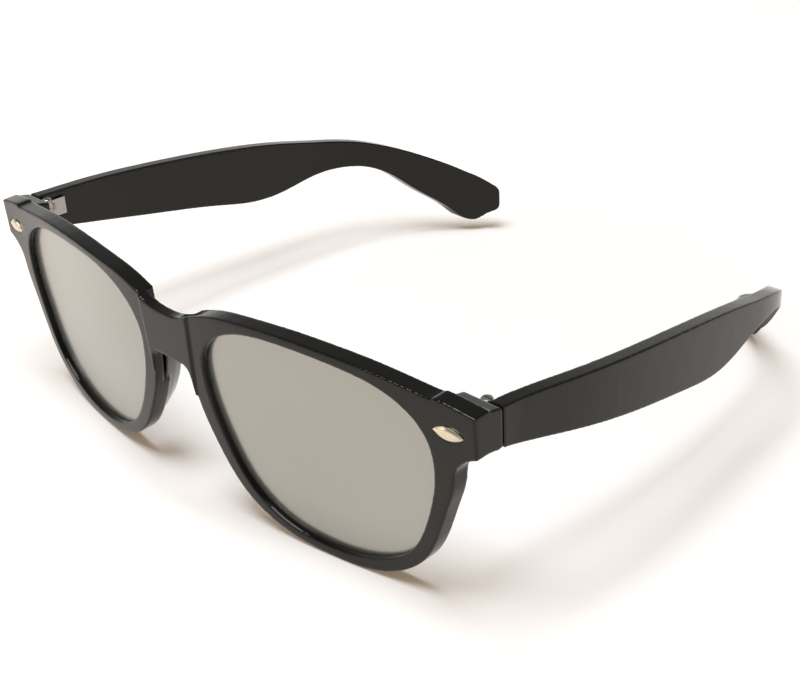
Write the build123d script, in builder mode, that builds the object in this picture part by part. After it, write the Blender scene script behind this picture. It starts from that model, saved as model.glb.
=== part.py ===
from build123d import *
from math import cos, radians, sin
import os

# Diffraction glasses, standing open on a table on the lower rims and the temple tips.
# +Z is up, the front faces -Y, and +X is the wearer's left. The origin is on the table,
# under the middle of the object. All sizes are in millimetres.

# overall sizes
front_width = 145.0
front_height = 45.0
overall_depth = 140.0
front_tilt = 2.9
foot_rise = 0.09

# front frame
rim_depth = 3.7
bow_depth = 8.9
lens_recess = 1.4
groove_depth = 0.8
nose_rim_reach = 9.8
side_rim_reach = 9.5
top_rim = 1.8
low_rim = 2.1
bridge_depth = 2.5

# lens and film
lens_thickness = 1.0
film_thickness = 0.25
seat_clearance = 0.05

# nose pads moulded on the rims
pad_depth = 5.4
pad_width = 3.4
pad_ridge_width = 1.3
pad_ridge_shift = 1.9
pad_root = 0.7

# end pieces and the hinge blocks behind them
block_width = 8.7
block_sink = 0.7
block_lip = 1.0
seam_step = 0.15
joint_setback = 13.5
seam_gap = 0.15

# hinges
hinge_height = 4.5
hinge_drop = 3.8
barrel_radius = 1.2
barrel_gap = 0.1
bore_radius = 0.65
screw_radius = 0.6
screw_head_radius = 1.1
screw_head_height = 0.7
screw_slot_width = 0.3
screw_slot_depth = 0.3
leaf_thickness = 0.8
leaf_length = 3.8
leaf_height = 4.0
leaf_drop = 0.45
anchor_width = 1.4
anchor_length = 1.5
axis_setback = 1.45
leaf_shift = 0.7
leaf_start = 3.0
leaf_proud = 0.15
press_clearance = 0.02
axis_inset = 1.55
web_width = 1.4

# temples
temple_thickness = 3.2
tip_rounding = 1.5
left_rest_fold = 2.0

# trim rivets on the end pieces
rivet_length = 6.3
rivet_width = 2.7
rivet_rise = 0.55
rivet_inset = 5.6
rivet_drop = 4.6
rivet_pin_radius = 0.6
rivet_pin_length = 2.4
rivet_sink = 0.25

# construction
overrun = 20.0
half_width = front_width / 2
opening_width = half_width - nose_rim_reach - side_rim_reach
opening_height = front_height - top_rim - low_rim
opening_middle_x = nose_rim_reach + opening_width / 2
opening_middle_z = low_rim + opening_height / 2
tilt_sine = sin(radians(front_tilt))
tilt_cosine = cos(radians(front_tilt))

# The front leans forward a little at its top. Its own frame has its origin where the middle of the
# bridge, run down to the table, would stand, x across, y backwards and z up along the front.
bridge_top_share = 0.895
front_y = bridge_top_share * front_height * tilt_sine - overall_depth / 2
front_origin = Vector(0, front_y, -foot_rise)
up_the_front = Vector(0, -tilt_sine, tilt_cosine)
back_from_front = Vector(0, tilt_cosine, tilt_sine)
elevation = Plane(origin=front_origin, x_dir=(1, 0, 0), z_dir=-back_from_front)
plan = Plane(origin=front_origin, x_dir=(1, 0, 0), z_dir=up_the_front)

# shares of half the front's width and of its height, from the middle of the bridge outwards
top_edge_shares = [(0, 0.895), (0.05, 0.901), (0.109, 0.931), (0.19, 0.971), (0.30, 0.992),
                   (0.44, 1.0), (0.58, 0.991), (0.74, 0.966), (0.88, 0.938), (1.0, 0.916)]
end_piece_top_share = top_edge_shares[-1][1]
end_piece_low_share = 0.738
lower_edge_shares = [(0.972, 0.718), (0.948, 0.688), (0.932, 0.65), (0.925, 0.59), (0.894, 0.435),
                     (0.818, 0.168), (0.69, 0.026), (0.515, 0.0), (0.36, 0.04), (0.232, 0.153),
                     (0.145, 0.344), (0.096, 0.52), (0.086, 0.60)]
arch_corner_share = 0.052
bridge_low_share = 0.075
bridge_top_width_share = 0.108
arch_height_share = 0.677

# the middle line of the left nose pad on the rim's nose side, from its top down, in shares as above
pad_line_shares = [(0.107, 0.60), (0.150, 0.405), (0.214, 0.245)]
pad_middle_share = 0.93
pad_ridge_share = 0.76

# shares of half the opening's width and height, from its middle
opening_shares = [(-0.995, 0.36), (-0.91, 0.71), (-0.65, 0.925), (-0.23, 1.0), (0.27, 0.965),
                  (0.70, 0.84), (0.945, 0.58), (1.0, 0.18), (0.92, -0.26), (0.745, -0.70),
                  (0.41, -0.95), (0.0, -1.0), (-0.36, -0.915), (-0.66, -0.665), (-0.875, -0.22)]

# the rivet's dome: shares of its rise and of its outline
rivet_dome_shares = [(0, 1), (0.62, 0.78), (1, 0.35)]

# the temple's side outline from the top of its hinge end round the tip to the bottom of its hinge
# end, in shares of its reach and of the front's height
temple_outline_shares = [(0, 0.904), (0.122, 0.880), (0.284, 0.829), (0.446, 0.766), (0.568, 0.703),
                         (0.659, 0.646), (0.740, 0.598), (0.811, 0.533), (0.885, 0.432), (0.939, 0.341),
                         (0.978, 0.272), (1.001, 0.230), (1.011, 0.198), (1.000, 0.155), (0.980, 0.098),
                         (0.963, 0.042), (0.946, 0.001), (0.928, 0.034), (0.907, 0.118), (0.850, 0.285),
                         (0.757, 0.465),
                         (0.705, 0.500), (0.640, 0.502), (0.563, 0.470), (0.485, 0.466), (0.403, 0.508),
                         (0.241, 0.597), (0.081, 0.691), (0, 0.741)]

# the temple's outer side in plan, in shares of its reach and of the hinge end's distance from the
# middle; it ends where the tip is cut square
temple_plan_shares = [(0, 1.0), (0.122, 1.022), (0.325, 1.033), (0.483, 1.019), (0.603, 1.001),
                      (0.684, 0.982), (0.748, 0.950), (0.829, 0.869), (0.909, 0.755), (0.963, 0.664),
                      (1.0, 0.598)]
temple_steps = 14

# shares of half the front's width and of the bow's depth
bow_shares = [(0, 0.045), (0.276, 0.135), (0.552, 0.438), (0.828, 0.82), (1.0, 1.0)]


def bow_points(setback):
    """The front's bowed face in plan, moved back by setback, from one end to the other."""
    half = [(half_width * x, bow_depth * y + setback) for x, y in bow_shares]
    return [(-x, y) for x, y in reversed(half[1:])] + half


def opening_points(grow):
    """The lens opening's outline, grown outwards by grow."""
    return [(opening_middle_x + x * (opening_width / 2 + grow),
             opening_middle_z + z * (opening_height / 2 + grow)) for x, z in opening_shares]


def bowed_band(near, far):
    """The space between the bowed face moved back by near and by far, over the whole front."""
    with BuildPart() as band:
        with BuildSketch(plan.offset(-overrun)):
            with BuildLine():
                front_curve = Spline(*bow_points(near))
                rear_curve = Spline(*bow_points(far))
                Line(front_curve @ 0, rear_curve @ 0)
                Line(front_curve @ 1, rear_curve @ 1)
            make_face()
        extrude(amount=front_height + 2 * overrun)
    return band.part


def lens_sheet(grow, near, far):
    """A bowed sheet of the opening's outline grown by grow, between two setbacks of the front face."""
    with BuildPart() as sheet:
        with BuildSketch(elevation.offset(overrun)):
            with BuildLine():
                Spline(*opening_points(grow), periodic=True)
            make_face()
        extrude(amount=-(2 * overrun + bow_depth))
        add(bowed_band(near, far), mode=Mode.INTERSECT)
    return sheet.part


# The left half of the front's outline, seen square on: top edge, end piece, rim and nose arch.
with BuildSketch(elevation) as front_outline:
    with BuildLine():
        top_edge = Spline(*[(half_width * x, front_height * z) for x, z in top_edge_shares],
                          tangents=((1, 0), (1, -0.18)))
        end_side = Line(top_edge @ 1, (half_width, front_height * end_piece_low_share))
        lower_edge = Spline(end_side @ 1, *[(half_width * x, front_height * z) for x, z in lower_edge_shares])
        arch_edge = Line((half_width * arch_corner_share, front_height * arch_height_share),
                         (0, front_height * arch_height_share))
        Spline(lower_edge @ 1, arch_edge @ 0, tangents=(lower_edge % 1, (-1, 0)))
        Line(arch_edge @ 1, top_edge @ 0)
    make_face()

# Where the temples meet the hinge blocks, an upright plane across the whole object.
joint_y = front_y + joint_setback
temple_outer_x = half_width - seam_gap
axis_x = temple_outer_x - temple_thickness - axis_inset
axis_y = joint_y + axis_setback
hinge_middle_z = front_height * end_piece_top_share - hinge_drop
hinge_low = hinge_middle_z - hinge_height / 2
hinge_high = hinge_middle_z + hinge_height / 2
barrel_height = (hinge_height - 2 * barrel_gap) / 3


def pad_section(setback, shift, width, length_share):
    """One crescent of the left nose pad, across the front's own frame, shifted away from the nose."""
    middle_x, middle_z = pad_line_shares[1]
    line = [(half_width * (middle_x + (x - middle_x) * length_share) + shift,
             front_height * (middle_z + (z - middle_z) * length_share)) for x, z in pad_line_shares]
    middle_line = ThreePointArc(*line, mode=Mode.PRIVATE)
    with BuildSketch(elevation.offset(-setback)) as section:
        SlotArc(middle_line, width)
    return section.sketch


# A moulded nose pad: it starts inside the rim and narrows to a ridge that leans away from the nose.
with BuildPart() as nose_pad:
    add(pad_section(rim_depth - pad_root, 0, pad_width, 1))
    add(pad_section(rim_depth + pad_depth / 2, pad_ridge_shift / 2, (pad_width + pad_ridge_width) / 2,
                    pad_middle_share))
    add(pad_section(rim_depth + pad_depth, pad_ridge_shift, pad_ridge_width, pad_ridge_share))
    loft(ruled=True)

# The hinge block runs back from the end piece to the plane where the temple starts. Its top falls
# to the temple's, and its underside sweeps up to a short lip at the temple's own height.
block_start = bow_depth + block_sink
block_front_y = front_y + block_start
block_top_z = front_height * end_piece_top_share + block_start * tilt_sine - foot_rise
block_low_z = front_height * end_piece_low_share + block_start * tilt_sine - foot_rise
temple_top_z = front_height * temple_outline_shares[0][1]
temple_low_z = front_height * temple_outline_shares[-1][1]
with BuildPart() as hinge_block:
    with BuildSketch(Plane.YZ.offset(half_width - block_width)):
        with BuildLine():
            Polyline((block_front_y, block_low_z), (block_front_y, block_top_z),
                     (joint_y, temple_top_z + seam_step), (joint_y, temple_low_z),
                     (joint_y - block_lip, temple_low_z), (joint_y - block_lip, temple_low_z - seam_step))
            TangentArc((block_front_y, block_low_z), (joint_y - block_lip, temple_low_z - seam_step),
                       tangent=(1, 0))
        make_face()
    extrude(amount=block_width)

# The trim rivet's seat: the middle of the end piece's face, turned to the bow's slope there.
rivet_x = half_width - rivet_inset
rivet_z = front_height * end_piece_top_share - rivet_drop
last_x, last_y = bow_shares[-2]
bow_slope = (1 - last_y) * bow_depth / ((1 - last_x) * half_width)
rivet_setback = last_y * bow_depth + (rivet_x - last_x * half_width) * bow_slope
rivet_seat = Plane(origin=elevation.from_local_coords(Vector(rivet_x, rivet_z, -rivet_setback)),
                   x_dir=Vector(1, 0, 0) + back_from_front * bow_slope,
                   z_dir=Vector(bow_slope, 0, 0) - back_from_front)


def almond(plane, share, grow=0):
    """The rivet's pointed outline on a plane, at a share of its full size, grown all round by grow."""
    end = rivet_length / 2 * share + grow
    side = rivet_width / 2 * share + grow
    with BuildSketch(plane) as outline:
        with BuildLine():
            ThreePointArc((-end, 0), (0, side), (end, 0))
            ThreePointArc((end, 0), (0, -side), (-end, 0))
        make_face()
    return outline.sketch


# A trim rivet: a domed almond head sunk a little into the end piece, on a round pin.
with BuildPart() as rivet_dome:
    for rise, share in rivet_dome_shares:
        add(almond(rivet_seat.offset(rise * rivet_rise), share))
    loft()
with BuildPart() as left_front_rivet:
    extrude(almond(rivet_seat.offset(-rivet_sink), 1), amount=rivet_sink, dir=rivet_seat.z_dir)
    add(rivet_dome.part)
    with BuildSketch(rivet_seat.offset(-rivet_sink)):
        Circle(rivet_pin_radius)
    extrude(amount=-rivet_pin_length)

# What the end piece loses for the rivet: the almond recess and the pin's hole.
with BuildPart() as rivet_recess:
    extrude(almond(rivet_seat.offset(-rivet_sink - seat_clearance), 1, seat_clearance),
            amount=rivet_sink + overrun, dir=rivet_seat.z_dir)
    with BuildSketch(rivet_seat.offset(-rivet_sink)):
        Circle(rivet_pin_radius + seat_clearance)
    extrude(amount=-(rivet_pin_length + seat_clearance))

# The front hinge leaf: a plate sunk into the block's rear face, a square anchor and two barrels.
leaf_middle_x = axis_x - leaf_shift
leaf_middle_z = hinge_middle_z - leaf_drop
front_leaf_plate = Plane(origin=(leaf_middle_x, joint_y, leaf_middle_z), x_dir=(1, 0, 0), z_dir=(0, 1, 0))
barrel_lows = [hinge_low + number * (barrel_height + barrel_gap) for number in range(3)]
with BuildPart() as left_front_hinge_leaf:
    with BuildSketch(front_leaf_plate):
        Rectangle(leaf_length, leaf_height)
    extrude(amount=-leaf_thickness)
    with BuildSketch(front_leaf_plate.offset(-leaf_thickness)):
        Rectangle(anchor_width, anchor_width)
    extrude(amount=-anchor_length)
    for low in (barrel_lows[0], barrel_lows[2]):
        with BuildSketch(Plane.XY.offset(low)):
            with Locations((axis_x, axis_y)):
                Circle(barrel_radius)
            with Locations((axis_x, joint_y + axis_setback / 2)):
                Rectangle(web_width, axis_setback)
        extrude(amount=barrel_height)
    with BuildSketch(Plane.XY.offset(hinge_low)):
        with Locations((axis_x, axis_y)):
            Circle(screw_radius + press_clearance)
    extrude(amount=hinge_height, mode=Mode.SUBTRACT)

# The temple hinge leaf, as it lies with the temple fully open: a plate on the temple's inner face,
# its anchor and the middle barrel.
inner_face_x = axis_x + axis_inset
temple_leaf_start = joint_y + leaf_start
temple_leaf_plate = Plane(
    origin=(inner_face_x - leaf_proud, temple_leaf_start + leaf_length / 2, leaf_middle_z),
    x_dir=(0, 1, 0), z_dir=(1, 0, 0))
with BuildPart() as open_temple_leaf:
    with BuildSketch(temple_leaf_plate):
        Rectangle(leaf_length, leaf_height)
    extrude(amount=leaf_thickness)
    with BuildSketch(temple_leaf_plate.offset(leaf_thickness)):
        Rectangle(anchor_width, anchor_width)
    extrude(amount=anchor_length)
    with BuildSketch(Plane.XY.offset(barrel_lows[1])):
        with Locations((axis_x, axis_y)):
            Circle(barrel_radius)
        with BuildLine():
            Polyline((axis_x, axis_y - web_width / 2), (inner_face_x, temple_leaf_start),
                     (inner_face_x, temple_leaf_start + web_width), (axis_x, axis_y + web_width / 2),
                     close=True)
        make_face()
    extrude(amount=barrel_height)
    with BuildSketch(Plane.XY.offset(hinge_low)):
        with Locations((axis_x, axis_y)):
            Circle(bore_radius)
    extrude(amount=hinge_height, mode=Mode.SUBTRACT)

# The hinge screw: shank through the three barrels, slotted round head on top.
with BuildPart() as left_hinge_screw:
    with BuildSketch(Plane.XY.offset(hinge_low)):
        with Locations((axis_x, axis_y)):
            Circle(screw_radius)
    extrude(amount=hinge_height)
    with BuildSketch(Plane.XY.offset(hinge_high)):
        with Locations((axis_x, axis_y)):
            Circle(screw_head_radius)
    extrude(amount=screw_head_height)
    chamfer(left_hinge_screw.faces().sort_by(Axis.Z)[-1].edges(), screw_slot_depth / 2)
    with BuildSketch(Plane.XY.offset(hinge_high + screw_head_height)):
        with Locations((axis_x, axis_y)):
            Rectangle(2 * screw_head_radius, screw_slot_width)
    extrude(amount=-screw_slot_depth, mode=Mode.SUBTRACT)

# The lens and the diffraction film behind it share one groove round the opening.
film_front = lens_recess + lens_thickness + seat_clearance
groove_rear = film_front + film_thickness + seat_clearance
left_groove = lens_sheet(groove_depth, lens_recess - seat_clearance, groove_rear)
left_opening = lens_sheet(0, -overrun / 2, rim_depth + overrun / 2)

with BuildPart() as left_lens:
    add(lens_sheet(groove_depth - seat_clearance, lens_recess, lens_recess + lens_thickness))
with BuildPart() as left_grating_film:
    add(lens_sheet(groove_depth - seat_clearance, film_front, film_front + film_thickness))

# What the hinge block loses for the front hinge leaf: the plate's seat and the anchor's hole.
with BuildPart() as front_leaf_seat:
    with BuildSketch(front_leaf_plate):
        Rectangle(leaf_length + 2 * seat_clearance, leaf_height + 2 * seat_clearance)
    extrude(amount=-(leaf_thickness + seat_clearance))
    with BuildSketch(front_leaf_plate.offset(-leaf_thickness)):
        Rectangle(anchor_width + 2 * seat_clearance, anchor_width + 2 * seat_clearance)
    extrude(amount=-(anchor_length + seat_clearance))

# The bridge's flat face stands a little proud of the rims, and its rear lies further forward.
bridge_outline = [(0, 0), (half_width * bridge_low_share, 0),
                  (half_width * bridge_top_width_share, front_height), (0, front_height)]
with BuildPart() as bridge_face:
    with BuildSketch(elevation.offset(-bridge_depth / 2)):
        add(front_outline.sketch_local)
        with BuildLine():
            Polyline(*bridge_outline, close=True)
        make_face(mode=Mode.INTERSECT)
    extrude(amount=bridge_depth / 2)
with BuildPart() as bridge_hollow:
    with BuildSketch(elevation.offset(-bridge_depth)):
        Rectangle(half_width * bridge_top_width_share, 2 * front_height, align=(Align.MIN, Align.CENTER))
    extrude(amount=-overrun)

# The whole front frame: its left half with pad, hinge block and all its cuts, then the mirrored half.
with BuildPart() as front_frame:
    extrude(front_outline.sketch, amount=overrun, both=True)
    add(bowed_band(0, rim_depth), mode=Mode.INTERSECT)
    add(bridge_hollow.part, mode=Mode.SUBTRACT)
    add(bridge_face.part)
    add(left_opening, mode=Mode.SUBTRACT)
    add(nose_pad.part)
    add(hinge_block.part)
    for cut in (left_groove, rivet_recess.part, front_leaf_seat.part):
        add(cut, mode=Mode.SUBTRACT)
    mirror(about=Plane.YZ)

# What the temple loses for its hinge leaf: the plate's seat, open to the inner side, and the
# anchor's hole.
with BuildPart() as temple_leaf_seat:
    with BuildSketch(temple_leaf_plate.offset(leaf_thickness + seat_clearance)):
        Rectangle(leaf_length + 2 * seat_clearance, leaf_height + 2 * seat_clearance)
    extrude(amount=-overrun)
    with BuildSketch(temple_leaf_plate.offset(leaf_thickness)):
        Rectangle(anchor_width + 2 * seat_clearance, anchor_width + 2 * seat_clearance)
    extrude(amount=anchor_length + seat_clearance)

# The left temple, fully open: its side outline, cut to a plan that bows out and then curls in
# behind the ear.
temple_start = joint_y + seam_gap
temple_reach = overall_depth / 2 - temple_start
temple_outline = [(temple_start + along * temple_reach, height * front_height)
                  for along, height in temple_outline_shares]
temple_plan = [(across * temple_outer_x, temple_start + along * temple_reach)
               for along, across in temple_plan_shares]
end_heading = Vector(*temple_plan[-1]) - Vector(*temple_plan[-2])
temple_stations = [number / temple_steps for number in range(temple_steps + 1)]
with BuildPart() as open_temple:
    with BuildSketch(Plane.YZ):
        with BuildLine():
            side_edge = Spline(*temple_outline)
            Line(side_edge @ 1, side_edge @ 0)
        make_face()
    extrude(amount=half_width + overrun)
    with BuildSketch(Plane.XY):
        with BuildLine():
            outer_edge = Spline(*temple_plan, tangents=((0, 1), end_heading))
            inner_points = [(outer_edge @ share) + (outer_edge % share).rotate(Axis.Z, 90) * temple_thickness
                            for share in temple_stations]
            inner_edge = Spline(*inner_points)
            Line(outer_edge @ 0, inner_edge @ 0)
            Line(outer_edge @ 1, inner_edge @ 1)
        make_face()
    extrude(amount=front_height, mode=Mode.INTERSECT)
    tip_edges = open_temple.faces().sort_by(Axis.Y)[-1].edges().sort_by(Axis.Z)
    fillet([tip_edges[0], tip_edges[-1]], tip_rounding)
    add(temple_leaf_seat.part, mode=Mode.SUBTRACT)

# The left temple stands a little folded in, turned about its hinge with its leaf.
left_hinge_axis = Axis((axis_x, axis_y, 0), (0, 0, 1))
with BuildPart() as left_temple:
    add(open_temple.part.rotate(left_hinge_axis, left_rest_fold))
with BuildPart() as left_temple_hinge_leaf:
    add(open_temple_leaf.part.rotate(left_hinge_axis, left_rest_fold))

# The right-hand pieces are the left ones mirrored about the middle of the glasses, with the temple
# fully open.
with BuildPart() as right_lens:
    mirror(left_lens.part, about=Plane.YZ)
with BuildPart() as right_grating_film:
    mirror(left_grating_film.part, about=Plane.YZ)
with BuildPart() as right_front_rivet:
    mirror(left_front_rivet.part, about=Plane.YZ)
with BuildPart() as right_front_hinge_leaf:
    mirror(left_front_hinge_leaf.part, about=Plane.YZ)
with BuildPart() as right_temple_hinge_leaf:
    mirror(open_temple_leaf.part, about=Plane.YZ)
with BuildPart() as right_hinge_screw:
    mirror(left_hinge_screw.part, about=Plane.YZ)
with BuildPart() as right_temple:
    mirror(open_temple.part, about=Plane.YZ)

pieces = {
    "front_frame": front_frame,
    "left_lens": left_lens,
    "right_lens": right_lens,
    "left_grating_film": left_grating_film,
    "right_grating_film": right_grating_film,
    "left_front_rivet": left_front_rivet,
    "right_front_rivet": right_front_rivet,
    "left_front_hinge_leaf": left_front_hinge_leaf,
    "right_front_hinge_leaf": right_front_hinge_leaf,
    "left_hinge_screw": left_hinge_screw,
    "right_hinge_screw": right_hinge_screw,
    "left_temple": left_temple,
    "right_temple": right_temple,
    "left_temple_hinge_leaf": left_temple_hinge_leaf,
    "right_temple_hinge_leaf": right_temple_hinge_leaf,
}
os.makedirs("parts", exist_ok=True)
for name, piece in pieces.items():
    piece.part.label = name
    export_step(piece.part, f"parts/{name}.step")
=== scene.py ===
import math

import bpy
import numpy
from mathutils import Euler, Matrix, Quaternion, Vector


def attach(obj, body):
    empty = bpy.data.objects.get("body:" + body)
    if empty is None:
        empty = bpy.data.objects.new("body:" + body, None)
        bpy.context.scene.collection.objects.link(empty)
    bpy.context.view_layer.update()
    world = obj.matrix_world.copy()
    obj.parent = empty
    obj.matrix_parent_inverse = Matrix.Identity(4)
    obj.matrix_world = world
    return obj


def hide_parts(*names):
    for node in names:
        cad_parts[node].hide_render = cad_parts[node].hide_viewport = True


# Diffraction glasses standing open on a pale table: black moulded plastic, bowed lenses with a
# faint mirror look, champagne trim rivets and plated metal hinges.

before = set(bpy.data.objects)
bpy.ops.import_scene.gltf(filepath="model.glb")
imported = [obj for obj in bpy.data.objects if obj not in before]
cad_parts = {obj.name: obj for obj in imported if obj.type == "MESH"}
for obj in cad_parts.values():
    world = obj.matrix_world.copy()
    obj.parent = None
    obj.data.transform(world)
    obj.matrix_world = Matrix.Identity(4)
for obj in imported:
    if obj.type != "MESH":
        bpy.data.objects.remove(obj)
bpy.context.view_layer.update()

MM = 0.001

# The camera that took the photograph.
PHOTO_WIDTH = 800
FOCAL_PIXELS = 1453
SENSOR_WIDTH = 36.0
CAMERA_PLACE = Vector((210.5, -202.8, 159.6)) * MM
CAMERA_AZIMUTH = math.radians(47.456)
CAMERA_ELEVATION = math.radians(27.50)
CAMERA_ROLL = math.radians(3.072)
CAMERA_NEAR = 10 * MM

# Moulded edges. The mesh is turned before it becomes voxels, so that no long edge runs along their grid.
WELD_DISTANCE = 0.002 * MM
MOULD_VOXEL = 0.16 * MM
MOULD_SMOOTHING = 0.5
MOULD_PASSES = {"front_frame": 34, "left_temple": 22, "right_temple": 22}
MOULD_KEPT_SHARE = 0.50
MOULD_TURN = Euler((math.radians(35), math.radians(25), math.radians(40))).to_matrix().to_4x4()

# How each springy arm stands in the photograph, against its solid. Each row is a place along the arm, as a
# share of the way from the hinge to the tip, then the rise of the arm's top and the rise of its underside
# there, in millimetres.
HINGE_Y = -53.0 * MM
ARM_RISES = {
    "left_temple": [
        (0, 0.2, -0.3), (0.5, 0, 0.2), (0.62, 0, 1.1), (0.7, -0.3, 1.1), (0.76, -1.3, 0.4),
        (0.82, -3.1, -0.2), (0.885, -5.0, -0.9), (0.946, -6.2, 0.3), (0.975, -9.0, -1.4), (1, -12.5, -2.6),
    ],
    "right_temple": [
        (0, 0.2, -0.2), (0.2, 0.3, -0.7), (0.4, 0.9, -0.8), (0.6, 1.5, -1.2), (0.72, 1.6, -0.4),
        (0.8, 1.7, 0.6), (0.87, 1.7, 0.2), (0.92, 1.6, 1.8), (0.95, 1.2, 3.2), (0.975, 0.3, 1.8),
        (1, -1.8, 1.6),
    ],
}
TIP_BACK = {"left_temple": 3.4 * MM, "right_temple": 0.0}
HOOK_STRETCH = (0.72, 1.0)

# The arm's sides are evened over thin slices, from just behind the hinge until near the tip's end.
ARM_SLICES = 400
FACET_SLICES = 11
FACET_REACH = 3 * FACET_SLICES
EVEN_FROM = (0.02, 0.05)
EVEN_UNTIL = (0.95, 0.99)
TIP_SHARE = 0.93
LEAST_WIDTH = 0.1 * MM

# Light, in watts, with plain strengths for the world, the backdrop and the table's glow.
KEY_PLACE = Vector((20, -260, 1400)) * MM
KEY_SIZE = 860 * MM
KEY_WATTS = 20.0
KEY_COLOUR = (0.93, 0.97, 1.04)
FILL_PLACE = Vector((-520, -560, 360)) * MM
FILL_SIZE = 380 * MM
FILL_WATTS = 0.6
FILL_COLOUR = (1.0, 0.97, 0.93)
WORLD_COLOUR = (1.0, 0.82, 0.56, 1)
WORLD_STRENGTH = 0.16
BACKGROUND_COLOUR = (1, 1, 1, 1)
BACKGROUND_LOW = 1.0
BACKGROUND_HIGH = 0.30
BACKGROUND_STRETCH = (0.06, 0.40)
# The table's glow is weaker near the object than far from it: painted shade around the object.
FLOOR_GLOW_NEAR_PAINTED_SHADE = 0.16
FLOOR_GLOW_FAR = 0.40
FLOOR_GLOW_STRETCH = (70 * MM, 230 * MM)
# The glow's warm colour shows only where the table is shaded: it paints the shadows tan.
FLOOR_GLOW_WARM_SHADOW_COLOUR = (1.0, 0.72, 0.50, 1)
FLOOR_SIZE = 3.0
FLOOR_DIVISIONS = 8

# Material patterns, in cycles per metre, and the height of the fine unevenness that they give.
FLOW_SCALE = 90
HAZE_SCALE = 900
CLOUD_SCALE = 25
GRAIN_SCALE = 1400
RULING_SCALE = 900
PAPER_SCALE = 12
RIVET_SCALE = 2500
HINGE_SCALE = 1800
FLOW_HEIGHT = 0.02 * MM
BRUSHING_HEIGHT = 0.01 * MM


def shader(material, kind, **inputs):
    """A node of this kind in the material, with values on its own sockets."""
    node = material.node_tree.nodes.new(kind)
    for name, value in inputs.items():
        node.inputs[name.replace("_", " ")].default_value = value
    return node


def new_material(name):
    """An empty node material with its output node."""
    material = bpy.data.materials.new(name)
    material.use_nodes = True
    material.node_tree.nodes.clear()
    output = material.node_tree.nodes.new("ShaderNodeOutputMaterial")
    return material, output


def join(material, source, socket, target, target_socket):
    """Links one node's output to another's input."""
    material.node_tree.links.new(source.outputs[socket], target.inputs[target_socket])


def noise(material, scale, detail=3.0, roughness=0.55):
    """Noise over the object's own coordinates, in cycles per metre."""
    place = material.node_tree.nodes.new("ShaderNodeTexCoord")
    texture = shader(material, "ShaderNodeTexNoise", Scale=scale, Detail=detail, Roughness=roughness)
    join(material, place, "Object", texture, "Vector")
    return texture


def ramp(material, source, socket, low, high, start=0.0, end=1.0):
    """Spreads a value that goes from start to end between two other numbers."""
    spread = material.node_tree.nodes.new("ShaderNodeMapRange")
    spread.inputs["From Min"].default_value = start
    spread.inputs["From Max"].default_value = end
    spread.inputs["To Min"].default_value = low
    spread.inputs["To Max"].default_value = high
    join(material, source, socket, spread, "Value")
    return spread


def tint(material, source, socket, low, high):
    """Spreads a 0 to 1 value between two colours."""
    colours = material.node_tree.nodes.new("ShaderNodeValToRGB")
    colours.color_ramp.elements[0].color = (*low, 1)
    colours.color_ramp.elements[1].color = (*high, 1)
    join(material, source, socket, colours, "Fac")
    return colours


def bump(material, source, socket, height):
    """A fine unevenness of this height, in metres."""
    node = shader(material, "ShaderNodeBump", Strength=1.0, Distance=height)
    join(material, source, socket, node, "Height")
    return node


def black_plastic():
    """Glossy injection-moulded black plastic with faint flow marks and handling haze."""
    material, output = new_material("moulded_black_plastic")
    body = shader(material, "ShaderNodeBsdfPrincipled", IOR=1.49, Specular_IOR_Level=0.33,
                  Specular_Tint=(1.0, 0.95, 0.86, 1))
    flow = noise(material, FLOW_SCALE, 2.0)
    haze = noise(material, HAZE_SCALE, 4.0, 0.6)
    colour = tint(material, flow, "Fac", (0.0020, 0.0020, 0.0020), (0.0034, 0.0032, 0.0030))
    join(material, colour, "Color", body, "Base Color")
    join(material, ramp(material, haze, "Fac", 0.07, 0.13), "Result", body, "Roughness")
    join(material, bump(material, flow, "Fac", FLOW_HEIGHT), "Normal", body, "Normal")
    join(material, body, "BSDF", output, "Surface")
    return material


def mirror_lens():
    """The lens sheet: clear plastic that shows the light film behind it as a warm, soft mirror."""
    material, output = new_material("lens_sheet")
    body = shader(material, "ShaderNodeBsdfPrincipled", Metallic=0.75, IOR=1.49, Coat_Weight=0.25,
                  Coat_Roughness=0.04)
    cloud = noise(material, CLOUD_SCALE, 2.0)
    grain = noise(material, GRAIN_SCALE, 3.0)
    colour = tint(material, cloud, "Fac", (0.37, 0.358, 0.315), (0.41, 0.396, 0.350))
    join(material, colour, "Color", body, "Base Color")
    join(material, ramp(material, grain, "Fac", 0.20, 0.26), "Result", body, "Roughness")
    join(material, body, "BSDF", output, "Surface")
    return material


def grating_film():
    """The film behind the lens, with fine rulings that split the light into faint colours."""
    material, output = new_material("ruled_film")
    body = shader(material, "ShaderNodeBsdfPrincipled", Metallic=0.7, Roughness=0.22, IOR=1.5)
    place = material.node_tree.nodes.new("ShaderNodeTexCoord")
    rulings = shader(material, "ShaderNodeTexWave", Scale=RULING_SCALE, Distortion=0.0)
    join(material, place, "Object", rulings, "Vector")
    colour = tint(material, rulings, "Fac", (0.42, 0.43, 0.44), (0.52, 0.50, 0.46))
    join(material, colour, "Color", body, "Base Color")
    join(material, body, "BSDF", output, "Surface")
    return material


def plated_metal(name, low, high, roughness, scale):
    """Plated metal with fine brushing and small changes of tone."""
    material, output = new_material(name)
    body = shader(material, "ShaderNodeBsdfPrincipled", Metallic=1.0)
    wear = noise(material, scale, 3.0)
    colour = tint(material, wear, "Fac", low, high)
    join(material, colour, "Color", body, "Base Color")
    join(material, ramp(material, wear, "Fac", roughness * 0.8, roughness * 1.3), "Result", body, "Roughness")
    join(material, bump(material, wear, "Fac", BRUSHING_HEIGHT), "Normal", body, "Normal")
    join(material, body, "BSDF", output, "Surface")
    return material


def dress(name, material):
    """Gives a CAD node its material."""
    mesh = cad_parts[name].data
    mesh.materials.clear()
    mesh.materials.append(material)
    for polygon in mesh.polygons:
        polygon.use_smooth = True


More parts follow.
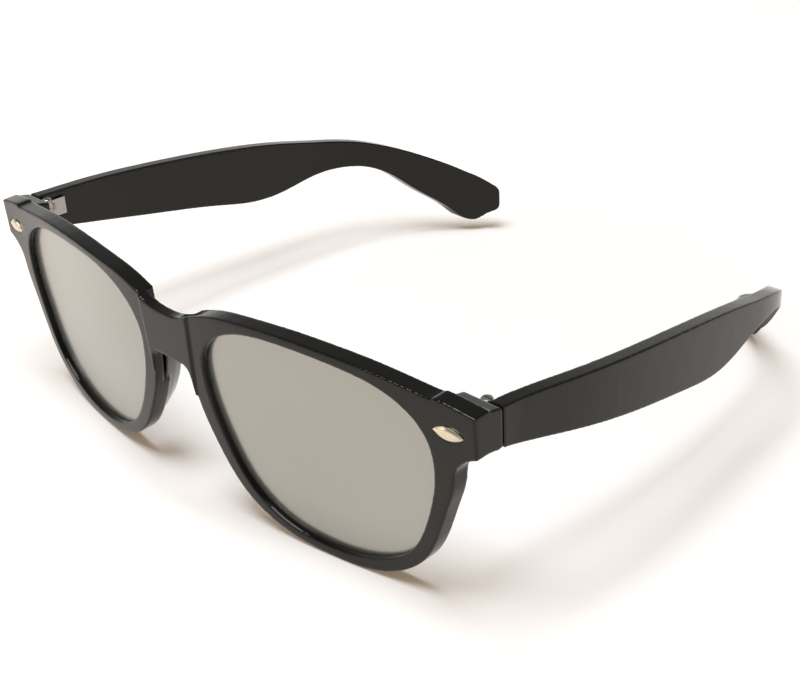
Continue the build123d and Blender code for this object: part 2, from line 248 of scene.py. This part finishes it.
def eased(values, start, end):
    """0 before start, 1 after end, and a smooth step between."""
    part = numpy.clip((values - start) / (end - start), 0, 1)
    return part * part * (3 - 2 * part)


def through(along, places, rises):
    """A smooth curve through a few rises at their places."""
    slopes = numpy.gradient(rises, places)
    after = numpy.clip(numpy.searchsorted(places, along), 1, len(places) - 1)
    before = after - 1
    span = places[after] - places[before]
    part = numpy.clip((along - places[before]) / span, 0, 1)
    rest = 1 - part
    return (rest * rest * (1 + 2 * part) * rises[before] + part * rest * rest * span * slopes[before]
            + part * part * (3 - 2 * part) * rises[after] - part * part * rest * span * slopes[after])


def slice_edges(values, slices):
    """The highest and lowest value in each slice."""
    high = numpy.full(ARM_SLICES + 1, -numpy.inf)
    low = numpy.full(ARM_SLICES + 1, numpy.inf)
    numpy.maximum.at(high, slices, values)
    numpy.minimum.at(low, slices, values)
    return high, low


def evened(edge):
    """An edge's values, averaged over the slices beside each, which takes its flat facets away."""
    padded = numpy.pad(edge, FACET_REACH, "reflect", reflect_type="odd")
    offsets = numpy.arange(-FACET_REACH, FACET_REACH + 1)
    weights = numpy.exp(-0.5 * (offsets / FACET_SLICES) ** 2)
    return numpy.convolve(padded, weights / weights.sum(), "valid")


def held(edge):
    """An edge's evened values, with those in the tip held at the value where the tip begins."""
    start = int(TIP_SHARE * ARM_SLICES)
    steady = evened(edge)
    steady[start:] = steady[start]
    return steady


def spring_arm(mesh, rises, tip_back):
    """Bends an arm's mesh a little, as the photograph shows it, and evens the curve of its sides."""
    flat = numpy.empty(3 * len(mesh.vertices), dtype=numpy.float32)
    mesh.vertices.foreach_get("co", flat)
    points = flat.reshape(-1, 3).astype(float)
    along = (points[:, 1] - HINGE_Y) / (points[:, 1].max() - HINGE_Y)
    slices = numpy.clip((along * ARM_SLICES).astype(int), 0, ARM_SLICES)
    outer, inner = slice_edges(points[:, 0], slices)
    width = numpy.maximum(outer - inner, LEAST_WIDTH)
    across = (points[:, 0] - inner[slices]) / width[slices]
    even = evened(inner)[slices] * (1 - across) + evened(outer)[slices] * across
    points[:, 0] += (even - points[:, 0]) * (1 - eased(along, *EVEN_UNTIL)) * eased(along, *EVEN_FROM)
    top, low = map(held, slice_edges(points[:, 2], slices))
    height_share = numpy.clip((points[:, 2] - low[slices]) / (top[slices] - low[slices]), 0, 1)
    places, top_rises, low_rises = numpy.array(rises, dtype=float).T
    points[:, 2] += height_share * through(along, places, top_rises) * MM
    points[:, 2] += (1 - height_share) * through(along, places, low_rises) * MM
    points[:, 1] -= tip_back * eased(along, *HOOK_STRETCH)
    mesh.vertices.foreach_set("co", points.astype(numpy.float32).ravel())


def applied(piece):
    """The piece's mesh with its modifiers in it."""
    mesh = bpy.data.meshes.new_from_object(piece.evaluated_get(bpy.context.evaluated_depsgraph_get()))
    piece.modifiers.clear()
    piece.data = mesh
    return mesh


def moulded(node, body, material):
    """A moulded piece in place of a CAD node, with its edges and corners rounded and, in an arm, its bend."""
    piece = bpy.data.objects.new(f"moulded_{node}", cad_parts[node].data.copy())
    piece.data.transform(MOULD_TURN)
    bpy.context.scene.collection.objects.link(piece)
    weld = piece.modifiers.new("weld", "WELD")
    weld.merge_threshold = WELD_DISTANCE
    voxels = piece.modifiers.new("voxels", "REMESH")
    voxels.mode = "VOXEL"
    voxels.voxel_size = MOULD_VOXEL
    mesh = applied(piece)
    mesh.transform(MOULD_TURN.inverted())
    if node in ARM_RISES:
        spring_arm(mesh, ARM_RISES[node], TIP_BACK[node])
    rounding = piece.modifiers.new("rounding", "SMOOTH")
    rounding.factor = MOULD_SMOOTHING
    rounding.iterations = MOULD_PASSES[node]
    lighter = piece.modifiers.new("lighter", "DECIMATE")
    lighter.ratio = MOULD_KEPT_SHARE
    mesh = applied(piece)
    mesh.materials.clear()
    mesh.materials.append(material)
    mesh.polygons.foreach_set("use_smooth", [True] * len(mesh.polygons))
    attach(piece, body)
    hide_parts(node)
    return piece


def set_camera():
    """The photograph's camera."""
    camera = bpy.data.objects.new("camera", bpy.data.cameras.new("camera"))
    bpy.context.scene.collection.objects.link(camera)
    camera.data.sensor_width = SENSOR_WIDTH
    camera.data.lens = SENSOR_WIDTH * FOCAL_PIXELS / PHOTO_WIDTH
    camera.data.clip_start = CAMERA_NEAR
    ahead = Vector((-math.sin(CAMERA_AZIMUTH) * math.cos(CAMERA_ELEVATION),
                    math.cos(CAMERA_AZIMUTH) * math.cos(CAMERA_ELEVATION),
                    -math.sin(CAMERA_ELEVATION)))
    camera.rotation_mode = "QUATERNION"
    camera.rotation_quaternion = Quaternion(ahead, CAMERA_ROLL) @ ahead.to_track_quat("-Z", "Y")
    camera.location = CAMERA_PLACE
    bpy.context.scene.camera = camera


def area_light(name, place, size, watts, colour):
    """A square lamp that faces the middle of the object."""
    lamp = bpy.data.lights.new(name, "AREA")
    lamp.size = size
    lamp.energy = watts
    lamp.color = colour
    holder = bpy.data.objects.new(name, lamp)
    holder.location = place
    holder.rotation_mode = "QUATERNION"
    holder.rotation_quaternion = (-place).to_track_quat("-Z", "Y")
    bpy.context.scene.collection.objects.link(holder)


def seen_directly(tree):
    """1 for camera, glossy and transmission rays, and 0 for the rest."""
    path = tree.nodes.new("ShaderNodeLightPath")
    first = tree.nodes.new("ShaderNodeMath")
    first.operation = "MAXIMUM"
    tree.links.new(path.outputs["Is Camera Ray"], first.inputs[0])
    tree.links.new(path.outputs["Is Glossy Ray"], first.inputs[1])
    second = tree.nodes.new("ShaderNodeMath")
    second.operation = "MAXIMUM"
    tree.links.new(first.outputs[0], second.inputs[0])
    tree.links.new(path.outputs["Is Transmission Ray"], second.inputs[1])
    return second.outputs[0]


def set_world():
    """A plain pale studio: soft light all round, and a backdrop that is white low down and greyer above."""
    world = bpy.data.worlds.new("studio")
    bpy.context.scene.world = world
    world.use_nodes = True
    tree = world.node_tree
    tree.nodes.clear()
    output = tree.nodes.new("ShaderNodeOutputWorld")
    light = tree.nodes.new("ShaderNodeBackground")
    light.inputs["Color"].default_value = WORLD_COLOUR
    light.inputs["Strength"].default_value = WORLD_STRENGTH
    backdrop = tree.nodes.new("ShaderNodeBackground")
    backdrop.inputs["Color"].default_value = BACKGROUND_COLOUR
    direction = tree.nodes.new("ShaderNodeTexCoord")
    parts = tree.nodes.new("ShaderNodeSeparateXYZ")
    fade = tree.nodes.new("ShaderNodeMapRange")
    fade.inputs["From Min"].default_value = BACKGROUND_STRETCH[0]
    fade.inputs["From Max"].default_value = BACKGROUND_STRETCH[1]
    fade.inputs["To Min"].default_value = BACKGROUND_LOW
    fade.inputs["To Max"].default_value = BACKGROUND_HIGH
    tree.links.new(direction.outputs["Generated"], parts.inputs["Vector"])
    tree.links.new(parts.outputs["Z"], fade.inputs["Value"])
    tree.links.new(fade.outputs["Result"], backdrop.inputs["Strength"])
    choice = tree.nodes.new("ShaderNodeMixShader")
    tree.links.new(seen_directly(tree), choice.inputs["Fac"])
    tree.links.new(light.outputs[0], choice.inputs[1])
    tree.links.new(backdrop.outputs[0], choice.inputs[2])
    tree.links.new(choice.outputs[0], output.inputs["Surface"])


def table_top():
    """The pale table: it glows where it is looked at, and keeps its shadow. The glow is weaker near the
    object, a painted shade around it, and its warm colour paints the shadows tan.
    """
    material, output = new_material("pale_table_with_painted_shade")
    paper = shader(material, "ShaderNodeBsdfDiffuse")
    soft = noise(material, PAPER_SCALE, 2.0)
    colour = tint(material, soft, "Fac", (0.90, 0.90, 0.89), (0.93, 0.93, 0.92))
    join(material, colour, "Color", paper, "Color")
    # A warm glow for looking rays: it paints the table's shadows tan.
    glow = shader(material, "ShaderNodeEmission", Color=FLOOR_GLOW_WARM_SHADOW_COLOUR)
    place = material.node_tree.nodes.new("ShaderNodeTexCoord")
    distance = material.node_tree.nodes.new("ShaderNodeVectorMath")
    distance.operation = "LENGTH"
    join(material, place, "Object", distance, 0)
    # Less glow near the object: painted shade around it.
    spread = ramp(material, distance, "Value", FLOOR_GLOW_NEAR_PAINTED_SHADE, FLOOR_GLOW_FAR, *FLOOR_GLOW_STRETCH)
    strength = material.node_tree.nodes.new("ShaderNodeMath")
    strength.operation = "MULTIPLY"
    join(material, spread, "Result", strength, 1)
    material.node_tree.links.new(seen_directly(material.node_tree), strength.inputs[0])
    join(material, strength, 0, glow, "Strength")
    both = material.node_tree.nodes.new("ShaderNodeAddShader")
    join(material, paper, "BSDF", both, 0)
    join(material, glow, "Emission", both, 1)
    join(material, both, 0, output, "Surface")
    bpy.ops.mesh.primitive_grid_add(x_subdivisions=FLOOR_DIVISIONS, y_subdivisions=FLOOR_DIVISIONS,
                                    size=FLOOR_SIZE)
    floor = bpy.context.object
    floor.name = "table_top"
    floor.data.materials.append(material)


plastic = black_plastic()
lens = mirror_lens()
film = grating_film()
rivet_metal = plated_metal("champagne_plating", (0.62, 0.53, 0.38), (0.76, 0.67, 0.50), 0.20, RIVET_SCALE)
hinge_metal = plated_metal("nickel_plating", (0.30, 0.285, 0.265), (0.44, 0.42, 0.39), 0.28, HINGE_SCALE)

moulded("front_frame", "front", plastic)
moulded("left_temple", "left_arm", plastic)
moulded("right_temple", "right_arm", plastic)
for side in ("left", "right"):
    dress(f"{side}_lens", lens)
    dress(f"{side}_grating_film", film)
    dress(f"{side}_front_rivet", rivet_metal)
    dress(f"{side}_front_hinge_leaf", hinge_metal)
    dress(f"{side}_temple_hinge_leaf", hinge_metal)
    dress(f"{side}_hinge_screw", hinge_metal)

bpy.context.scene.view_settings.view_transform = "Standard"
set_camera()
set_world()
table_top()
area_light("key", KEY_PLACE, KEY_SIZE, KEY_WATTS, KEY_COLOUR)
area_light("fill", FILL_PLACE, FILL_SIZE, FILL_WATTS, FILL_COLOUR)
